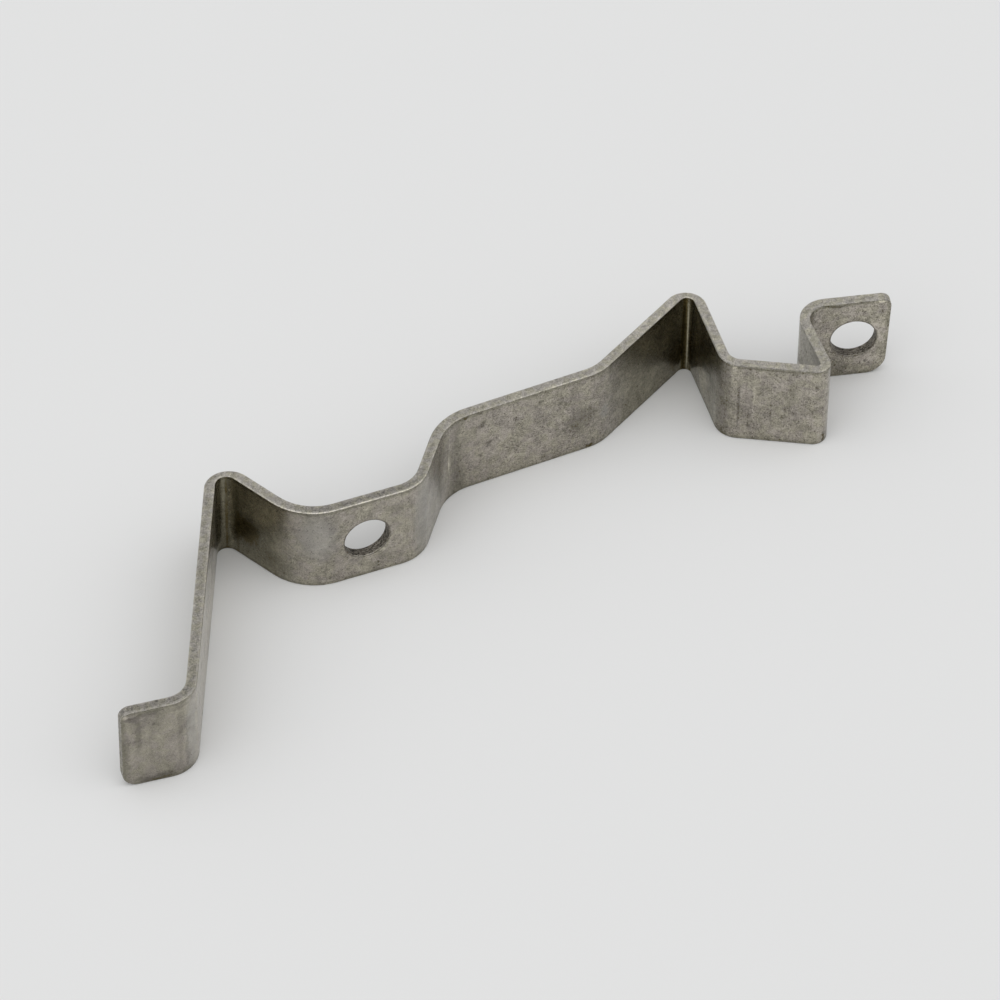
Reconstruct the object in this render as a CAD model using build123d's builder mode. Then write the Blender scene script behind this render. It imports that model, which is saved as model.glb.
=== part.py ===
"""Folded strip bracket: one length of steel strip, bent ten times across its
width and punched with two round fixing holes. It stands on one sheared edge:
the strip width runs up +Z and every fold line is vertical. Millimetres."""

import os

from build123d import *

# ---------------------------------------------------------------- the strip
strip_width = 19.0
strip_thickness = 2.0
roll_over = 0.3           # shearing rounds the edges of the right skin
burr_break = 0.1          # and leaves a fine break on the left skin

# ------------------------------------------------- the legs, in fold order
# Each leg runs from fold corner to fold corner along the middle of the
# sheet. Headings are in degrees from +X, seen from above.
first_tab_length = 13.1
first_tab_heading = -5.25
long_leg_length = 59.3
long_leg_heading = 65.5
return_leg_length = 22.1
return_leg_heading = -63.25
seat_length = 22.9        # flat with the first hole; it lies along +X
seat_heading = 0.0
step_length = 17.1
step_heading = 53.0
shelf_length = 32.0
shelf_heading = 2.75
ramp_length = 29.3
ramp_heading = 30.0
peak_leg_length = 21.8
peak_leg_heading = -96.25
floor_length = 19.3
floor_heading = -28.75
hook_length = 18.3
hook_heading = 85.25
last_tab_length = 17.8    # tab with the second hole, at half its height
last_tab_heading = -13.25

# ------------------------------------------------------ inside fold radii
first_tab_fold = 4.5
long_fold = 2.0           # tight fold at the far end of the long leg
return_fold = 9.5
step_foot_fold = 6.0
step_head_fold = 10.0
ramp_foot_fold = 7.75
peak_fold = 1.4           # tight fold at the peak
floor_fold = 2.75
hook_fold = 0.6           # tight fold at the foot of the hook
last_tab_fold = 3.5
pinch = 0.5               # extra outside radius where a fold thins
hook_pinch = 0.15         # the same at the hook, which hardly thins

# ----------------------------------------------------- ends of the two tabs
tab_head_radius = 2.0     # upper corner of either tab
first_tab_foot_radius = 3.0
last_tab_foot_radius = 4.0
last_end_lean = 2.0       # degrees out of square, longer at the top
shear_allowance = 1.0     # left on the last tab until its end is sheared

# ---------------------------------------------------------------- the holes
hole_diameter = 8.7       # clearance for an M8 or 5/16 inch screw
seat_hole_from_fold = 12.4
last_hole_from_end = 6.75

with BuildPart() as bracket:
    # the middle of the sheet, seen from above, as eleven straight legs
    with BuildLine(mode=Mode.PRIVATE) as middle:
        first_tab = PolarLine((0, 0), first_tab_length, first_tab_heading)
        long_leg = PolarLine(first_tab @ 1, long_leg_length, long_leg_heading)
        return_leg = PolarLine(long_leg @ 1, return_leg_length, return_leg_heading)
        seat = PolarLine(return_leg @ 1, seat_length, seat_heading)
        step = PolarLine(seat @ 1, step_length, step_heading)
        shelf = PolarLine(step @ 1, shelf_length, shelf_heading)
        ramp = PolarLine(shelf @ 1, ramp_length, ramp_heading)
        peak_leg = PolarLine(ramp @ 1, peak_leg_length, peak_leg_heading)
        floor = PolarLine(peak_leg @ 1, floor_length, floor_heading)
        hook = PolarLine(floor @ 1, hook_length, hook_heading)
        blank_length = last_tab_length + shear_allowance
        last_tab = PolarLine(hook @ 1, blank_length, last_tab_heading)
        right_skin = offset(
            amount=strip_thickness / 2,
            side=Side.RIGHT,
            kind=Kind.INTERSECTION,
            closed=False,
            mode=Mode.PRIVATE,
        )

    # the sheet in section: square ends, sharp folds, then each fold rounded
    with BuildSketch(Plane.XY) as section:
        with BuildLine():
            add(right_skin)
            offset(amount=strip_thickness, side=Side.LEFT, kind=Kind.INTERSECTION)
        make_face()
        for leg_in, leg_out, inside_radius, thinning in (
            (first_tab, long_leg, first_tab_fold, 0),
            (long_leg, return_leg, long_fold, pinch),
            (return_leg, seat, return_fold, 0),
            (seat, step, step_foot_fold, 0),
            (step, shelf, step_head_fold, 0),
            (shelf, ramp, ramp_foot_fold, 0),
            (ramp, peak_leg, peak_fold, pinch),
            (peak_leg, floor, floor_fold, 0),
            (floor, hook, hook_fold, hook_pinch),
            (hook, last_tab, last_tab_fold, 0),
        ):
            fold_corners = section.vertices().sort_by_distance(leg_in @ 1)[0:2]
            between_legs = (leg_in @ 0.5 + leg_out @ 0.5) / 2
            outer_corner = fold_corners.sort_by_distance(between_legs)[1]
            fillet(outer_corner, radius=inside_radius + strip_thickness + thinning)
            inner_corner = section.vertices().sort_by_distance(leg_in @ 1)[0]
            fillet(inner_corner, radius=inside_radius)
    extrude(amount=strip_width)

    # the last tab is sheared to length, a little out of square
    last_tab_end = last_tab.position_at(last_tab_length, PositionMode.LENGTH)
    across_last_tab = (last_tab % 1).rotate(Axis.Z, 90)
    sheared_end = Plane(
        origin=last_tab_end + Vector(0, 0, strip_width / 2),
        x_dir=across_last_tab,
        z_dir=(last_tab % 1).rotate(Axis((0, 0, 0), across_last_tab), last_end_lean),
    )
    split(bisect_by=sheared_end, keep=Keep.BOTTOM)

    # rounded corners on the two end tabs
    for tab_end, height, corner_radius in (
        (first_tab @ 0, strip_width, tab_head_radius),
        (first_tab @ 0, 0, first_tab_foot_radius),
        (last_tab_end, strip_width, tab_head_radius),
        (last_tab_end, 0, last_tab_foot_radius),
    ):
        corner_point = tab_end + Vector(0, 0, height)
        tab_corner = bracket.edges().sort_by_distance(corner_point)[0]
        fillet(tab_corner, radius=corner_radius)

    # each skin's outline is one smooth loop, so one edge of it stands for all
    seat_middle = seat @ 0.5 + Vector(0, 0, strip_width)
    to_left_skin = (seat % 0.5).rotate(Axis.Z, 90) * (strip_thickness / 2)
    right_edge = bracket.edges().sort_by_distance(seat_middle - to_left_skin)[0]
    fillet(right_edge, radius=roll_over)
    left_edge = bracket.edges().sort_by_distance(seat_middle + to_left_skin)[0]
    chamfer(left_edge, length=burr_break)

    # the holes, punched square to their flats from the right skin
    seat_hole = seat.position_at(seat_hole_from_fold, PositionMode.LENGTH)
    last_hole = last_tab.position_at(
        last_tab_length - last_hole_from_end, PositionMode.LENGTH
    )
    for hole_centre, leg in ((seat_hole, seat), (last_hole, last_tab)):
        to_left_skin = (leg % 0.5).rotate(Axis.Z, 90) * (strip_thickness / 2)
        hole_middle = hole_centre + Vector(0, 0, strip_width / 2)
        with BuildSketch(Plane(origin=hole_middle, x_dir=leg % 0.5, z_dir=to_left_skin)):
            Circle(hole_diameter / 2)
        extrude(amount=strip_thickness, both=True, mode=Mode.SUBTRACT)
        rims = bracket.edges().filter_by(GeomType.CIRCLE)
        fillet(rims.sort_by_distance(hole_middle - to_left_skin)[0], radius=roll_over)
        rims = bracket.edges().filter_by(GeomType.CIRCLE)
        chamfer(rims.sort_by_distance(hole_middle + to_left_skin)[0], length=burr_break)

# the middle of the footprint stands over the origin
middle_of_footprint = bracket.part.bounding_box().center()
bracket.part = bracket.part.moved(
    Location((-middle_of_footprint.X, -middle_of_footprint.Y, 0))
)
bracket.part.label = "bracket"

os.makedirs("parts", exist_ok=True)
export_step(bracket.part, "parts/bracket.step")
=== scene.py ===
"""Looks for the folded strip bracket: bare mild steel, tumbled and lightly stained, on
a pale floor. Lengths are in metres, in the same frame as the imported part; the steel's
own pattern is laid out in millimetres along, through and across the strip."""

import math
from types import SimpleNamespace

import bpy
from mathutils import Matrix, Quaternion, Vector

MM = 0.001

# ---------------------------------------------------------------- the camera
camera_azimuth = -23.144     # degrees; 0 looks along +Y
camera_elevation = 45.482    # degrees above the floor
camera_roll = 0.921          # degrees, anticlockwise
camera_distance = 1.24161    # from the point it looks at
camera_target = Vector((0.393, 2.267, 9.5)) * MM
camera_lens = 242.326        # millimetres on the sensor below
camera_sensor = 36.0
camera_reach = (0.05, 20.0)  # nearest and farthest that it sees

# ------------------------------------------------- the floor and the room light
floor_colour = (0.768, 0.771, 0.770)
floor_roughness, floor_gloss = 0.9, 0.1
floor_half_side = 2.5
glow_tightness = 7.0         # each glow falls off as exp(tightness * (cosine - 1))
GLOWS = (                    # azimuth, elevation, radiance
    (0, 90, 0.67),
    (0, 60, 0.55), (60, 60, 0.56), (120, 60, 0.12), (240, 60, 0.26), (300, 60, 0.65),
    (18, 34, 0.09), (54, 34, 0.33), (90, 34, 0.29), (162, 34, 0.10),
    (234, 34, 0.18), (270, 34, 0.44), (306, 34, 0.36), (342, 34, 0.15),
    (75, 10, 0.17), (150, 10, 0.19), (180, 10, 0.24), (210, 10, 0.20),
    (240, 10, 0.24), (270, 10, 0.25), (300, 10, 0.14),
)

# ------------------------------------------------------- the strip, in millimetres
half_sheet = 1.0
strip_width = 19.0
first_corner = Vector((-85.948, -29.766, 0.0))
LEGS = (                     # length, heading in degrees, inside radius of its far fold
    (13.1, -5.25, 4.5),      # first tab
    (59.3, 65.5, 2.0),       # long leg
    (22.1, -63.25, 9.5),     # return leg
    (22.9, 0.0, 6.0),        # seat
    (17.1, 53.0, 10.0),      # step
    (32.0, 2.75, 7.75),      # shelf
    (29.3, 30.0, 1.4),       # ramp
    (21.8, -96.25, 2.75),    # peak leg
    (19.3, -28.75, 0.6),     # floor
    (18.3, 85.25, 3.5),      # hook
    (17.8, -13.25, 0.0),     # last tab
)
strip_length = sum(leg[0] for leg in LEGS)
hole_radius = 4.35
HOLES = (106.9, 266.25)      # how far along the strip

# Stains, handling marks, and painted light and shade on the right skin: how far along the
# strip, height, reach along, reach up, and how much lighter (+) or darker (-) it is painted
# there.
MARKS_AND_PAINTED_LIGHT = (
    # first tab and its fold
    (3.15, 12.9, 0.55, 4.4, -0.26), (1.9, 17.4, 1.1, 0.7, -0.32),
    (4.8, 17.9, 2.2, 0.35, -0.25), (12.3, 7.0, 0.45, 5.5, -0.20),
    (6.8, 1.0, 2.6, 0.8, -0.30), (0.9, 9.0, 0.4, 6.0, -0.20), (7.6, 10.0, 1.4, 5.0, 0.08),
    # the first of the next row is a painted glint at the tab's top corner
    (0.5, 18.4, 0.7, 0.6, 0.9), (1.9, 8.0, 0.5, 6.0, 0.10), (9.3, 12.0, 0.6, 4.5, 0.10),
    (10.9, 10.0, 0.5, 6.5, -0.12), (5.6, 11.0, 0.4, 5.5, -0.07),
    (7.5, 0.9, 6.2, 0.8, -0.14), (7.0, 17.6, 6.2, 0.6, -0.10),
    # the long fold and the foot of the return leg: painted reflections and shade in
    # full-height bands across the concave fold, painted highlight dots down it, the return
    # leg painted darker low and lighter high
    (67.0, 9.5, 2.0, 12.0, 0.45), (74.3, 9.5, 0.9, 12.0, -0.42),
    (76.9, 9.5, 1.0, 12.0, 0.35), (79.4, 9.5, 0.5, 12.0, -0.35),
    (81.8, 7.3, 2.8, 3.4, -0.66), (84.0, 15.0, 4.5, 4.2, 0.8),
    (75.9, 15.5, 0.38, 0.28, 1.3), (75.7, 13.8, 0.36, 0.25, 1.3),
    (75.9, 12.4, 0.3, 0.2, 1.0), (75.6, 7.0, 0.36, 0.3, 1.0), (88.0, 4.0, 3.0, 2.5, -0.2),
    # seat
    (108.9, 2.6, 0.45, 0.4, -0.55), (110.9, 1.8, 0.35, 0.3, -0.25),
    (112.6, 15.2, 1.2, 1.3, -0.14), (101.0, 6.0, 2.6, 2.4, -0.14),
    (105.5, 4.2, 1.2, 1.0, -0.12), (109.7, 5.3, 0.6, 0.4, 0.25),
    (97.6, 12.0, 2.6, 4.0, 0.08),
    # step and its head: the first two are a painted glint and a painted highlight line in
    # the concave fold
    (133.6, 9.5, 0.22, 2.4, 0.6), (133.9, 10.5, 0.25, 6.5, 0.25),
    (138.4, 18.4, 0.8, 0.35, -0.4), (136.2, 9.0, 1.3, 7.5, -0.20),
    # shelf
    (142.2, 15.4, 0.5, 0.6, -0.45), (141.7, 18.6, 0.9, 0.35, -0.4),
    (148.8, 14.2, 0.32, 0.5, -0.5), (143.7, 10.0, 0.4, 0.7, -0.45),
    (141.9, 7.4, 0.35, 0.45, -0.35), (153.8, 13.2, 1.0, 3.6, -0.16),
    (162.3, 8.4, 2.6, 3.2, -0.34), (164.6, 0.9, 0.9, 0.55, -0.55),
    (151.3, 16.6, 0.45, 0.4, -0.3), (154.1, 16.0, 0.35, 0.35, -0.3),
    (159.5, 10.4, 5.0, 0.8, 0.08), (147.0, 12.0, 2.0, 4.0, 0.06),
    (161.4, 11.4, 2.2, 0.7, 0.10), (164.9, 11.7, 1.6, 0.7, 0.14),
    (160.8, 15.6, 0.9, 2.0, -0.18), (137.2, 3.4, 1.4, 2.4, -0.20),
    (151.5, 5.0, 4.0, 2.0, 0.06), (143.6, 14.0, 1.3, 2.4, 0.07),
    # ramp and peak leg: painted shade in full-height bands down the concave peak fold and
    # low on the ramp beside it, with lighter patches on the ramp and peak leg
    (167.7, 7.9, 1.1, 1.8, 0.12), (177.7, 10.5, 0.4, 0.8, -0.35),
    (171.1, 12.3, 0.35, 0.35, -0.3), (174.8, 4.9, 0.45, 0.45, -0.25),
    (206.2, 14.8, 0.3, 0.5, 0.4), (194.2, 9.5, 1.6, 12.0, -0.86),
    (198.7, 9.5, 1.2, 12.0, -0.45), (190.3, 5.0, 2.8, 3.4, -0.62),
    (187.6, 13.5, 2.0, 4.0, 0.7), (203.8, 12.5, 1.3, 5.0, 0.8),
    (207.0, 5.5, 2.5, 3.2, 0.8),
    # floor and its folds
    # the second of the next row is a painted glint at the floor's top rim
    (217.3, 9.5, 1.6, 12.0, -0.28), (219.1, 18.4, 0.35, 0.35, 0.9),
    (219.05, 16.2, 0.4, 2.2, 0.25), (220.25, 8.9, 0.22, 5.0, -0.38),
    (222.0, 8.5, 1.1, 4.4, -0.10), (226.35, 7.3, 0.16, 2.8, -0.28),
    (230.0, 13.0, 0.8, 3.6, -0.14), (226.6, 14.5, 0.35, 0.35, -0.45),
    (234.8, 14.8, 0.3, 0.45, -0.45), (227.9, 1.4, 0.45, 0.3, -0.4),
    (222.0, 3.9, 0.4, 0.45, -0.4), (230.6, 8.1, 0.8, 0.8, -0.25),
    (233.0, 4.2, 1.3, 0.7, -0.25), (236.8, 1.6, 0.45, 1.1, -0.7),
    (226.5, 18.5, 6.5, 0.13, -0.4), (223.1, 10.6, 0.28, 6.5, 0.18),
    # last tab
    (263.5, 15.5, 1.6, 0.7, -0.16), (262.0, 18.4, 2.6, 0.3, -0.40),
    (267.9, 16.1, 0.3, 0.45, -0.5), (268.7, 3.4, 0.28, 0.4, -0.5),
    (263.1, 2.6, 2.2, 2.0, -0.18), (265.0, 1.6, 6.5, 1.3, -0.12),
    # the first of the next row is a painted highlight on the rim at the tab's far top
    # corner
    (271.4, 18.6, 1.1, 0.3, 1.2), (270.9, 13.0, 1.4, 4.5, 0.08),
)

# Smooth, greyer patches on the right skin: middle and reach, as above. The glint in the
# peak fold is a patch of its own.
SMOOTH = (
    ((97.3, 12.6), (3.6, 5.6)),      # beside the seat's hole
    ((167.7, 7.9), (1.1, 1.8)),      # at the foot of the ramp
    ((13.6, 9.5), (1.4, 9.0)),       # first tab's fold
    ((118.5, 9.5), (2.0, 9.0)),      # foot of the step
)
GLINT = ((196.4, 9.0), (0.34, 9.3))

# ------------------------------------- the steel, from one end of the strip to the other
# Each row says how far along the strip, and the level there.
# The right skin's tone table is partly the steel's own tone and partly painted shade: it is
# lowest on the return leg, ramp and peak leg, which stand in shade.
RIGHT_TONE_AND_SHADE = (               # how light the right skin is
    (0, 0.285), (11, 0.29), (15, 0.40), (58, 0.46), (68, 0.195), (87, 0.19), (94, 0.315),
    (112, 0.33), (131, 0.325), (137, 0.285), (146, 0.345), (155, 0.325), (168, 0.29),
    (176, 0.22), (188, 0.212), (197, 0.205), (205, 0.24), (214, 0.235), (219, 0.31),
    (240, 0.335), (258, 0.335), (273, 0.375),
)
COARSENESS = (               # how much the grain shows
    (0, 0.30), (12, 0.35), (20, 0.6), (94, 0.5), (106, 0.8), (118, 0.5), (140, 0.65),
    (150, 0.7), (190, 0.9), (203, 1.0), (225, 0.7), (255, 0.9), (273, 0.85),
)
DRAWING = (                  # how much the upright drawing marks show
    (0, 0.3), (12, 0.4), (20, 0.6), (92, 0.4), (98, 0.1), (112, 0.1), (118, 0.9),
    (134, 0.6), (141, 0.1), (200, 0.3), (219, 0.6), (234, 0.5), (250, 0.3), (273, 0.0),
)
EDGE_TONE = (                # how light the sheared edges are
    (0, 0.34), (14, 0.36), (20, 0.39), (60, 0.40), (76, 0.44), (88, 0.43), (97, 0.36),
    (112, 0.355), (122, 0.41), (140, 0.43), (170, 0.46), (190, 0.50), (200, 0.48),
    (240, 0.45), (273, 0.47),
)
# the right rim's levels paint a highlight along the rolled arris, dimmed where below 1
RIGHT_RIM_HIGHLIGHT = (                # how many times as light their rolled rim is, on the right
    (0, 0.75), (11, 0.85), (16, 1.15), (64, 1.3), (76, 0.8), (92, 1.1), (98, 1.35),
    (114, 1.4), (130, 1.1), (140, 0.8), (149, 0.85), (156, 1.0), (164, 1.0), (172, 0.85),
    (200, 0.85), (221, 0.5), (234, 0.5), (240, 1.25), (252, 1.1), (257, 0.65), (273, 0.65),
)
LEFT_RIM = (                 # and the fine break, on the left
    (0, 1.0), (20, 1.15), (60, 1.05), (76, 0.9), (88, 0.82), (97, 0.95), (122, 0.95),
    (140, 0.84), (192, 0.84), (203, 1.05), (219, 0.95), (240, 0.92), (273, 0.97),
)

# ---------------------------------- where each kind of surface is found, in millimetres
between_skins = (0.86, 0.95)     # from mid-sheet: hole walls and tab ends lie inside it
middle_of_sheet = (-0.2, 0.2)    # the right skin lies below it, the left skin above it
hole_margin = (0.35, 0.45)       # out from a hole's radius: its wall and rolled rim
end_margin = (4.2, 4.4)          # in from a tab's end: the end with its round corners
facing_up = (0.3, 0.7)           # upward share of the normal, on the long sheared edges
right_rim_range, left_rim_range = (-0.84, -0.64), (0.78, 0.90)
# the rims' reach is that of their dirt, and at the bottom rim also of a painted contact
# shadow
rim_dirt_and_shade_reach = (0.45, 1.0)     # in from an edge
hole_dirt_reach = (0.2, 0.5)     # out from a hole's radius

# ------------------------------------------------- the patterns: noises and their cuts
NOISES = {                       # offset, scale, detail, roughness, distortion
    "grain": ((0, 0, 0), 1.1, 3.0, 0.95, 0.0),
    "speckle": ((0, 0, 0), 4.0, 1.0, 0.6, 0.0),
    "clouds": ((0, 0, 0), 0.28, 2.0, 0.55, 0.5),
    "hue": ((40, 0, 7), 0.40, 2.0, 0.6, 0.4),
    "patches": ((0, 50, 3), 0.22, 0.0, 0.5, 0.0),
    "wander": ((0, 0, 0), 0.9, 2.0, 0.7, 0.0),
    "pits": ((0, 9, 90), 1.9, 1.0, 0.4, 0.0),
    "specks": ((5, 0, 30), 4.0, 0.0, 0.5, 0.0),
    "soot": ((0, 3, 60), 2.4, 1.0, 0.7, 0.0),
    "edge hue": ((7, 70, 0), 0.8, 0.0, 0.5, 0.0),
    "torn": ((0, 0, 0), 1.6, 3.0, 0.85, 0.0),
}
pit_range, speck_range, soot_range = (0.69, 0.76), (0.68, 0.77), (0.52, 0.68)
patch_range, hue_range, torn_range = (0.42, 0.58), (0.36, 0.64), (0.36, 0.67)
# raggedness also moves the painted shade and highlights in the marks table, and the smooth
# patches
raggedness = 2.4                 # how far stains stray from their ovals, in all
stroke_bend = 6.0                # and scratches from a straight line
crossed_strokes = (40, -33)      # degrees from the strip's length

# ------------------------------------------------- how much each layer adds or takes
left_tone = 0.255                # the left skin is alike from end to end
skin_grain_share, skin_speckle_share = 1.25, 0.85
scratch_share, drawn_share = 0.55, 0.8
grain_strength = 1.85            # of all four together
smooth_loss = 1.2                # less of it on the smooth patches
cloud_strength, edge_cloud_strength = 0.9, 0.3
pit_loss, rim_dirt_and_shade_loss, hole_dirt_loss = 0.68, 0.25, 0.48
glint_light = 0.30
edge_grain_share, edge_speckle_share = 1.5, 1.3
edge_spread = 0.13               # lighter towards the skins, darker in the middle
soot_loss = 0.45
bump_strength, bump_height = 0.6, 0.02   # a share, and millimetres
skin_roughness = (0.30, 0.23)    # from the dullest noise to the brightest
edge_roughness = (0.68, 0.55)    # from the middle to the rims
bore_roughness = 0.55

# -------------------------------------------------------- tints, times the level of grey
olive, taupe = (1.09, 1.018, 0.83, 1), (1.105, 1.01, 0.89, 1)
# the first is the colour of the darker rims: dirt at both, and painted contact shadow along
# the bottom
rim_dirt_and_shade_tint, smooth_tint = (1.08, 1.03, 0.78, 1), (1.05, 1.01, 0.93, 1)
# browner where the tone is low, on the left skin and on the legs painted in shade; browner
# still where the level is darkest, in painted fold shade and the darkest stains
stain_and_shade_tint, stain_and_shade_range = (1.08, 1.0, 0.73, 1), (0.20, 0.29)
deep_stain_and_shade_tint, deep_stain_and_shade_range = (1.3, 1.0, 0.35, 1), (0.06, 0.16)
edge_warm, edge_cool = (1.07, 1.02, 0.86, 1), (1.07, 1.018, 0.93, 1)
bore_tint, bore_tones = (1.10, 1.0, 0.84), (0.03, 0.31)


# ------------------------------------------------------------- node helpers
class Graph:
    """A small wrapper round one node tree, so that each layer reads as a formula."""

    def __init__(self, tree):
        self.tree = tree
        tree.nodes.clear()

    def node(self, kind, **settings):
        made = self.tree.nodes.new(kind)
        for key, value in settings.items():
            setattr(made, key, value)
        return made

    def feed(self, socket, value):
        if isinstance(value, bpy.types.NodeSocket):
            self.tree.links.new(value, socket)
        elif value is not None:
            socket.default_value = value

    def math(self, operation, a, b=None, c=None):
        made = self.node("ShaderNodeMath", operation=operation)
        for socket, value in zip(made.inputs, (a, b, c)):
            self.feed(socket, value)
        return made.outputs[0]

    def add(self, a, b):
        return self.math("ADD", a, b)

    def less(self, a, b):
        return self.math("SUBTRACT", a, b)

    def times(self, a, b):
        return self.math("MULTIPLY", a, b)

    def line(self, value, slope, start):
        """value * slope + start"""
        return self.math("MULTIPLY_ADD", value, slope, start)

    def within(self, value, middle, reach):
        """1 where the value is no farther than the reach from the middle, else 0."""
        return self.math("COMPARE", value, middle, reach)

    def vector(self, operation, a, b=None, output="Vector"):
        made = self.node("ShaderNodeVectorMath", operation=operation)
        self.feed(made.inputs[0], a)
        self.feed(made.inputs[1], b)
        return made.outputs[output]

    def dot(self, a, b):
        return self.vector("DOT_PRODUCT", a, b, "Value")

    def join(self, x=0.0, y=0.0, z=0.0):
        made = self.node("ShaderNodeCombineXYZ")
        for socket, value in zip(made.inputs, (x, y, z)):
            self.feed(socket, value)
        return made.outputs[0]

    def ramp(self, value, low, high, to_low=0.0, to_high=1.0):
        """value from low to high becomes to_low to to_high, smoothly, and stays there."""
        made = self.node("ShaderNodeMapRange", interpolation_type="SMOOTHSTEP")
        for socket, given in zip(made.inputs, (value, low, high, to_low, to_high)):
            self.feed(socket, given)
        return made.outputs[0]

    def fade(self, value, low, high):
        """1 up to low, and from there smoothly down to 0 at high."""
        return self.ramp(value, low, high, 1.0, 0.0)

    def noise(self, vector, scale, detail, roughness, distortion):
        made = self.node("ShaderNodeTexNoise")
        self.feed(made.inputs["Vector"], vector)
        self.feed(made.inputs["Scale"], scale)
        self.feed(made.inputs["Detail"], detail)
        self.feed(made.inputs["Roughness"], roughness)
        self.feed(made.inputs["Distortion"], distortion)
        return made.outputs["Fac"]

    def named_noise(self, mm, name):
        offset, *settings = NOISES[name]
        return self.noise(self.vector("ADD", mm, offset) if any(offset) else mm, *settings)

    def mix(self, factor, a, b):
        made = self.node("ShaderNodeMix", data_type="RGBA")
        self.feed(made.inputs[0], factor)
        self.feed(made.inputs[6], a)
        self.feed(made.inputs[7], b)
        return made.outputs[2]

    def scale(self, vector, factor):
        """A place or a colour, times the factor."""
        made = self.node("ShaderNodeVectorMath", operation="SCALE")
        self.feed(made.inputs[0], vector)
        self.feed(made.inputs["Scale"], factor)
        return made.outputs[0]

    def along(self, u, table):
        """The level that a table gives at u, the distance along the strip."""
        made = self.node("ShaderNodeValToRGB")
        self.feed(made.inputs[0], self.math("DIVIDE", u, strip_length))
        bar = made.color_ramp
        first, *between, last = table
        for stop, (_, level) in zip(bar.elements, (first, last)):
            stop.color = (level, level, level, 1)
        for place, level in between:
            bar.elements.new(place / strip_length).color = (level, level, level, 1)
        return made.outputs[0]


# ------------------------------------------------------ places on the strip
def strip_place(g, mm):
    """How far a point lies along the strip, and how far out from the middle of the
    sheet towards its left skin. Each leg and fold speaks for its own ground only."""
    flat = g.vector("MULTIPLY", mm, (1, 1, 0))
    along = out = count = 0.0
    past_end = 2.0           # the end legs also speak for what lies just past them
    leg_slack, fold_slack, turn_slack = 0.2, 0.3, 0.01
    corner, run, start = first_corner.copy(), 0.0, -past_end
    for number, (length, heading, radius) in enumerate(LEGS):
        angle = math.radians(heading)
        ahead = Vector((math.cos(angle), math.sin(angle), 0))
        left = Vector((-ahead.y, ahead.x, 0))
        is_last = number == len(LEGS) - 1
        turn = 0.0 if is_last else math.radians(LEGS[number + 1][1] - heading)
        bend = radius + half_sheet
        reach = -past_end if is_last else bend * math.tan(abs(turn) / 2)
        end = length - reach
        here = g.less(g.dot(flat, ahead), ahead.dot(corner) - run)
        side = g.less(g.dot(flat, left), left.dot(corner))
        on_leg = g.times(
            g.within(here, run + (start + end) / 2, (end - start) / 2 + 0.02),
            g.within(side, 0.0, half_sheet + leg_slack),
        )
        along, out = g.line(on_leg, here, along), g.line(on_leg, side, out)
        count = g.add(on_leg, count)
        if not is_last:
            way = math.copysign(1, turn)
            middle = corner + ahead * end + left * way * bend
            arm = g.vector("SUBTRACT", flat, middle)
            swing = g.math("ARCTAN2", g.dot(arm, ahead), g.dot(arm, -left * way))
            distance = g.vector("LENGTH", arm, None, "Value")
            on_fold = g.times(
                g.within(swing, abs(turn) / 2, abs(turn) / 2 + turn_slack),
                g.within(distance, bend, half_sheet + fold_slack),
            )
            here = g.line(swing, 2 * reach / abs(turn), run + end)
            side = g.line(distance, -way, bend * way)
            along, out = g.line(on_fold, here, along), g.line(on_fold, side, out)
            count = g.add(on_fold, count)
        corner = corner + ahead * length
        run += length
        start = reach
    share = g.math("MAXIMUM", count, 1.0)
    return g.math("DIVIDE", along, share), g.math("DIVIDE", out, share)


def spot(g, place, middle, size, soft=0.5):
    """1 inside an oval round a place on the strip, fading to 0 outside it."""
    made = g.node("ShaderNodeVectorMath", operation="MULTIPLY_ADD")
    g.feed(made.inputs[0], place)
    g.feed(made.inputs[1], (1 / size[0], 1 / size[1], 0))
    g.feed(made.inputs[2], (-middle[0] / size[0], -middle[1] / size[1], 0))
    distance = g.vector("LENGTH", made.outputs[0], None, "Value")
    return g.fade(distance, 1 - soft, 1 + soft)


def strokes(g, u, z, angle, seed, width=0.28, length=3.2):
    """Fine strokes of about that width and length in millimetres, at one angle to the
    strip's length, in degrees. They are 0 on average."""
    a = math.radians(angle)
    along = g.add(g.times(u, math.cos(a) / length), g.times(z, math.sin(a) / length))
    across = g.less(g.times(z, math.cos(a) / width), g.times(u, math.sin(a) / width))
    return g.less(g.noise(g.join(along, across, seed), 1.0, 2.0, 0.7, 0.3), 0.5)


def marks_and_painted_light(g, at):
    """How much the marks, and the painted light and shade among them, lighten or darken the
    skin: 1 where there is none. Long or fine marks keep straight sides, and the others
    ragged ones."""
    fine, long = 0.3, 6.0
    level = 1.0
    for along, up, reach_along, reach_up, change in MARKS_AND_PAINTED_LIGHT:
        reach = (reach_along, reach_up)
        place = at.place if min(reach) < fine or max(reach) > long else at.ragged
        level = g.times(level, g.line(spot(g, place, (along, up), reach), change, 1.0))
    return level


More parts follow.
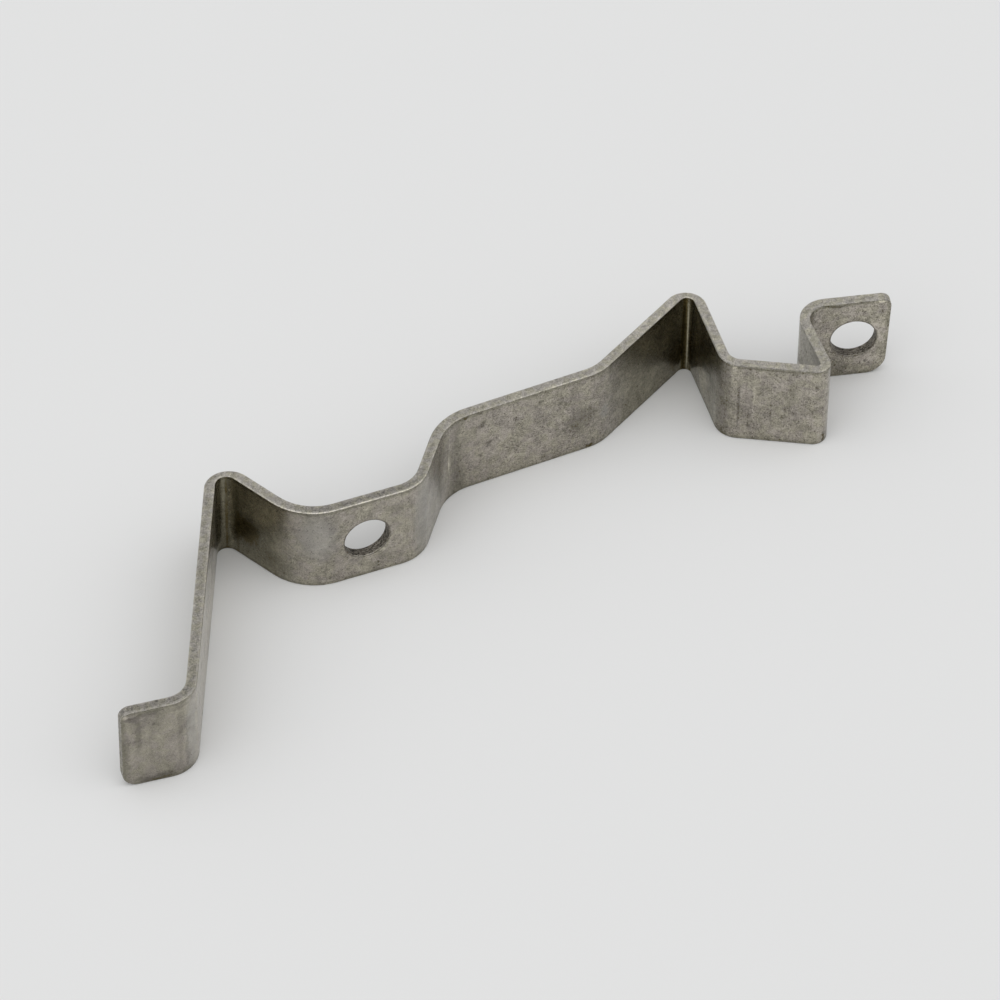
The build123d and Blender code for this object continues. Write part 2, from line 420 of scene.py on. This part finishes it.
# -------------------------------------------------------------------- the steel
def places(g):
    """Where a point lies on the strip, in millimetres, and what kind of surface it is
    on: each kind is 1 there and 0 elsewhere."""
    mm = g.scale(g.node("ShaderNodeTexCoord").outputs["Object"], 1 / MM)
    xyz, facing = g.node("ShaderNodeSeparateXYZ"), g.node("ShaderNodeSeparateXYZ")
    g.feed(xyz.inputs[0], mm)
    g.feed(facing.inputs[0], g.node("ShaderNodeNewGeometry").outputs["True Normal"])
    upright, z = g.math("ABSOLUTE", facing.outputs[2]), xyz.outputs[2]
    u, n = strip_place(g, mm)
    off_mid_height = g.less(z, strip_width / 2)
    from_rim = g.less(strip_width / 2, g.math("ABSOLUTE", off_mid_height))
    from_end = g.less(strip_length / 2, g.math("ABSOLUTE", g.less(u, strip_length / 2)))
    from_hole = g.math("MINIMUM", *(
        g.vector("LENGTH", g.join(g.less(u, middle), off_mid_height), None, "Value")
        for middle in HOLES
    ))
    inner = g.fade(g.math("ABSOLUTE", n), *between_skins)
    near_hole = g.fade(from_hole, *(hole_radius + reach for reach in hole_margin))
    tab_end = g.times(inner, g.fade(from_end, *end_margin))
    return SimpleNamespace(
        mm=mm, u=u, n=n, z=z, from_hole=from_hole, upright=upright,
        from_rim=g.math("MINIMUM", from_rim, g.add(from_end, 0.1)),
        hole_wall=g.times(inner, near_hole),
        sheared=g.math("MAXIMUM", g.ramp(upright, *facing_up), tab_end),
        right_skin=g.fade(n, *middle_of_sheet),
    )


def add_patterns(g, at):
    """The noises that several layers share. Grain and speckle are 0 on average."""
    at.grain = g.less(g.named_noise(at.mm, "grain"), 0.5)
    at.speckle = g.less(g.named_noise(at.mm, "speckle"), 0.5)
    at.clouds = g.named_noise(at.mm, "clouds")
    at.hue = g.named_noise(at.mm, "hue")
    at.wander = g.named_noise(at.mm, "wander")
    at.pits = g.ramp(g.named_noise(at.mm, "pits"), *pit_range)
    at.place = g.join(at.u, at.z)
    at.ragged = g.join(
        g.add(at.u, g.line(at.wander, raggedness, -raggedness / 2)),
        g.add(at.z, g.line(at.hue, raggedness, -raggedness / 2)),
    )
    smooth = 0.0
    for middle, reach in SMOOTH:
        smooth = g.math("MAXIMUM", smooth, spot(g, at.ragged, middle, reach))
    at.smooth = g.times(smooth, at.right_skin)


def skin_grain(g, at, coarse):
    """Grain, crossing scratches, drawing marks and broad clouds; 0 on average."""
    bent_u = g.add(at.u, g.line(at.clouds, stroke_bend, -stroke_bend / 2))
    patches = g.named_noise(at.mm, "patches")
    rising, falling = crossed_strokes
    scratch = g.add(
        g.times(strokes(g, bent_u, at.z, rising, 3.1), g.ramp(patches, *patch_range)),
        g.times(strokes(g, bent_u, at.z, falling, 11.7), g.fade(patches, *patch_range)),
    )
    upright_strokes = strokes(g, at.u, at.z, 90, 23.3, width=0.35, length=5.0)
    drawn = g.times(g.along(at.u, DRAWING), upright_strokes)
    fine = g.add(
        g.add(g.times(at.grain, skin_grain_share), g.times(at.speckle, skin_speckle_share)),
        g.add(g.times(scratch, scratch_share), g.times(drawn, drawn_share)),
    )
    strength = g.line(at.smooth, -smooth_loss, grain_strength)
    fine = g.times(fine, g.times(coarse, strength))
    return g.add(fine, g.line(at.clouds, cloud_strength, -cloud_strength / 2))


def skin_colour(g, at):
    """Both skins: grain, pits, dirt at holes, dirt and painted contact shadow at the rims,
    and the right skin's marks with painted light and shade among them.
    """
    coarse = g.along(at.u, COARSENESS)
    specks = g.ramp(g.named_noise(at.mm, "specks"), *speck_range)
    pitted = g.times(g.math("MAXIMUM", at.pits, specks), coarse)
    # darker near the rims: dirt, and along the bottom rim a painted contact shadow
    rim_dirt_and_shade = g.fade(g.add(at.from_rim, g.line(at.wander, 1.6, -0.8)), *rim_dirt_and_shade_reach)
    hole_dirt = g.fade(
        g.add(at.from_hole, g.line(at.wander, 0.5, -0.25)),
        *(hole_radius + reach for reach in hole_dirt_reach),
    )
    # the right skin's tone, with painted shade on the legs that stand in shade
    right_over_left = g.less(g.along(at.u, RIGHT_TONE_AND_SHADE), left_tone)
    tone = g.line(at.right_skin, right_over_left, left_tone)

    level = g.times(tone, g.add(1.0, skin_grain(g, at, coarse)))
    for cover, loss in (
        (pitted, pit_loss), (rim_dirt_and_shade, rim_dirt_and_shade_loss), (hole_dirt, hole_dirt_loss),
    ):
        level = g.times(level, g.line(cover, -loss, 1.0))
    # the marks, with painted shade, reflections and glints among them
    mark_and_light_change = g.less(marks_and_painted_light(g, at), 1.0)
    level = g.times(level, g.line(at.right_skin, mark_and_light_change, 1.0))
    glint = g.times(spot(g, at.place, *GLINT, soft=0.4), at.right_skin)
    level = g.line(glint, glint_light, level)

    tint = g.mix(g.ramp(at.hue, *hue_range), olive, taupe)
    tint = g.mix(g.times(rim_dirt_and_shade, 0.5), tint, rim_dirt_and_shade_tint)
    tint = g.mix(g.times(at.smooth, 0.7), tint, smooth_tint)
    # browner tints for low tone and the darkest level: stains, and the colour of painted
    # shade
    tint = g.mix(g.fade(tone, *stain_and_shade_range), tint, stain_and_shade_tint)
    tint = g.mix(g.fade(level, *deep_stain_and_shade_range), tint, deep_stain_and_shade_tint)
    return g.scale(tint, level)


def edge_colour(g, at, aside):
    """The sheared edges: rough, darker in the middle, and lighter towards both skins.
    Where they are dark all over, the middle is sooty too."""
    tone = g.along(at.u, EDGE_TONE)
    dark_core = g.ramp(tone, 0.33, 0.44, 1.0, 0.3)
    level = g.times(tone, g.line(g.times(aside, dark_core), edge_spread, 1.0))
    # the right rim's table paints a highlight along the rolled arris
    for rim, table in (
        (g.fade(at.n, *right_rim_range), RIGHT_RIM_HIGHLIGHT),
        (g.ramp(at.n, *left_rim_range), LEFT_RIM),
    ):
        level = g.times(level, g.line(rim, g.less(g.along(at.u, table), 1.0), 1.0))
    cloudy = g.line(at.clouds, edge_cloud_strength, 1 - edge_cloud_strength / 2)
    level = g.times(level, cloudy)
    blotches = g.times(g.less(at.wander, 0.5), g.line(dark_core, -0.7, 0.95))
    level = g.times(level, g.add(1.0, blotches))
    soot = g.times(dark_core, g.ramp(g.named_noise(at.mm, "soot"), *soot_range))
    soot = g.times(soot, g.ramp(aside, 0.0, 1.0, 1.0, 0.3))
    level = g.times(level, g.line(soot, -soot_loss, 1.0))
    fine = g.add(
        g.times(at.grain, edge_grain_share), g.times(at.speckle, edge_speckle_share)
    )
    level = g.times(level, g.add(1.0, fine))
    cool = g.ramp(g.named_noise(at.mm, "edge hue"), *hue_range)
    return g.scale(g.mix(cool, edge_warm, edge_cool), level)


def bore_colour(g, at):
    """The hole walls: torn and dirty, with a few bright flecks."""
    stretched = g.join(at.u, g.times(at.n, 2.0), at.z)
    return g.scale(
        bore_tint, g.ramp(g.named_noise(stretched, "torn"), *torn_range, *bore_tones)
    )


def steel_material():
    material = bpy.data.materials.new("steel")
    material.use_nodes = True
    g = Graph(material.node_tree)
    at = places(g)
    add_patterns(g, at)

    # from -1 in the middle of a sheared edge to 1 towards either skin
    off_middle = g.math("ABSOLUTE", g.line(at.wander, 0.8, g.less(at.n, 0.5)))
    aside = g.ramp(off_middle, 0.2, 0.9, -1.0, 1.0)

    colour = g.mix(at.sheared, skin_colour(g, at), edge_colour(g, at, aside))
    colour = g.mix(at.hole_wall, colour, bore_colour(g, at))

    roughness = g.ramp(g.add(at.clouds, at.speckle), 0.35, 0.65, *skin_roughness)
    roughness = g.times(roughness, g.line(at.smooth, -0.2, 1.0))
    roughness = g.line(at.pits, 0.2, roughness)
    roughness = g.mix(at.sheared, roughness, g.ramp(aside, -1.0, 1.0, *edge_roughness))
    roughness = g.mix(at.hole_wall, roughness, (bore_roughness,) * 3 + (1,))

    # the fine height of the surface, rougher on the sheared edges that face up or down
    height = g.times(at.speckle, g.line(at.upright, 1.5, 0.8))
    height = g.line(at.grain, 1.2, height)
    height = g.line(at.pits, -0.6, height)
    bump = g.node("ShaderNodeBump")
    bump.inputs["Strength"].default_value = bump_strength
    bump.inputs["Distance"].default_value = bump_height * MM
    g.feed(bump.inputs["Height"], height)

    shader = g.node("ShaderNodeBsdfPrincipled")
    shader.inputs["Metallic"].default_value = 1.0
    g.feed(shader.inputs["Base Color"], colour)
    g.feed(shader.inputs["Roughness"], roughness)
    g.feed(shader.inputs["Normal"], bump.outputs[0])
    output = g.node("ShaderNodeOutputMaterial")
    g.feed(output.inputs["Surface"], shader.outputs[0])
    return material


def make_floor():
    mesh = bpy.data.meshes.new("floor")
    h = floor_half_side
    corners = [(-h, -h, 0), (h, -h, 0), (h, h, 0), (-h, h, 0)]
    mesh.from_pydata(corners, [], [(0, 1, 2, 3)])
    floor = bpy.data.objects.new("floor", mesh)
    bpy.context.scene.collection.objects.link(floor)
    material = bpy.data.materials.new("floor")
    material.use_nodes = True
    g = Graph(material.node_tree)
    shader = g.node("ShaderNodeBsdfPrincipled")
    shader.inputs["Base Color"].default_value = (*floor_colour, 1)
    shader.inputs["Roughness"].default_value = floor_roughness
    shader.inputs["Specular IOR Level"].default_value = floor_gloss
    output = g.node("ShaderNodeOutputMaterial")
    g.feed(output.inputs["Surface"], shader.outputs[0])
    mesh.materials.append(material)


def direction_of(azimuth, elevation):
    """Unit vector from the part towards something at that azimuth and elevation, in
    degrees; azimuth 0 is on the -Y side and 90 on the +X side."""
    a, e = math.radians(azimuth), math.radians(elevation)
    return Vector((math.sin(a) * math.cos(e), -math.cos(a) * math.cos(e), math.sin(e)))


def make_sky():
    """Soft light from all round, strongest overhead and from the left."""
    world = bpy.data.worlds.new("sky")
    world.use_nodes = True
    bpy.context.scene.world = world
    g = Graph(world.node_tree)
    direction = g.node("ShaderNodeTexCoord").outputs["Generated"]
    total = 0.0
    for azimuth, elevation, radiance in GLOWS:
        towards = g.dot(direction, direction_of(azimuth, elevation))
        glow = g.math("EXPONENT", g.line(towards, glow_tightness, -glow_tightness))
        total = g.line(glow, radiance, total)
    back = g.node("ShaderNodeBackground")
    back.inputs["Color"].default_value = (1.0, 1.0, 1.0, 1)
    g.feed(back.inputs["Strength"], total)
    output = g.node("ShaderNodeOutputWorld")
    g.feed(output.inputs["Surface"], back.outputs[0])


def make_camera():
    data = bpy.data.cameras.new("camera")
    data.sensor_width = camera_sensor
    data.lens = camera_lens
    data.clip_start, data.clip_end = camera_reach
    thing = bpy.data.objects.new("camera", data)
    bpy.context.scene.collection.objects.link(thing)
    back = direction_of(camera_azimuth, camera_elevation)
    thing.location = camera_target + back * camera_distance
    thing.rotation_mode = "QUATERNION"
    turn = Quaternion((0, 0, 1), math.radians(camera_roll))
    thing.rotation_quaternion = (-back).to_track_quat("-Z", "Y") @ turn
    bpy.context.scene.camera = thing


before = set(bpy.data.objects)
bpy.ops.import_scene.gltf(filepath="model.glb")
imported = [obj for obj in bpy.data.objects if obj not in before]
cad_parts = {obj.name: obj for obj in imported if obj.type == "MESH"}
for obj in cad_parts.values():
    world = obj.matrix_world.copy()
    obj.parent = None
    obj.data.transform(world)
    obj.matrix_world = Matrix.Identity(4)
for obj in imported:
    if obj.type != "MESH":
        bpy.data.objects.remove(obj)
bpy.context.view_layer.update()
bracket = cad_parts["bracket"]      # it keeps its own mesh
bracket.data.materials.clear()
bracket.data.materials.append(steel_material())
make_floor()
make_sky()
make_camera()
bpy.context.scene.view_settings.view_transform = "Standard"
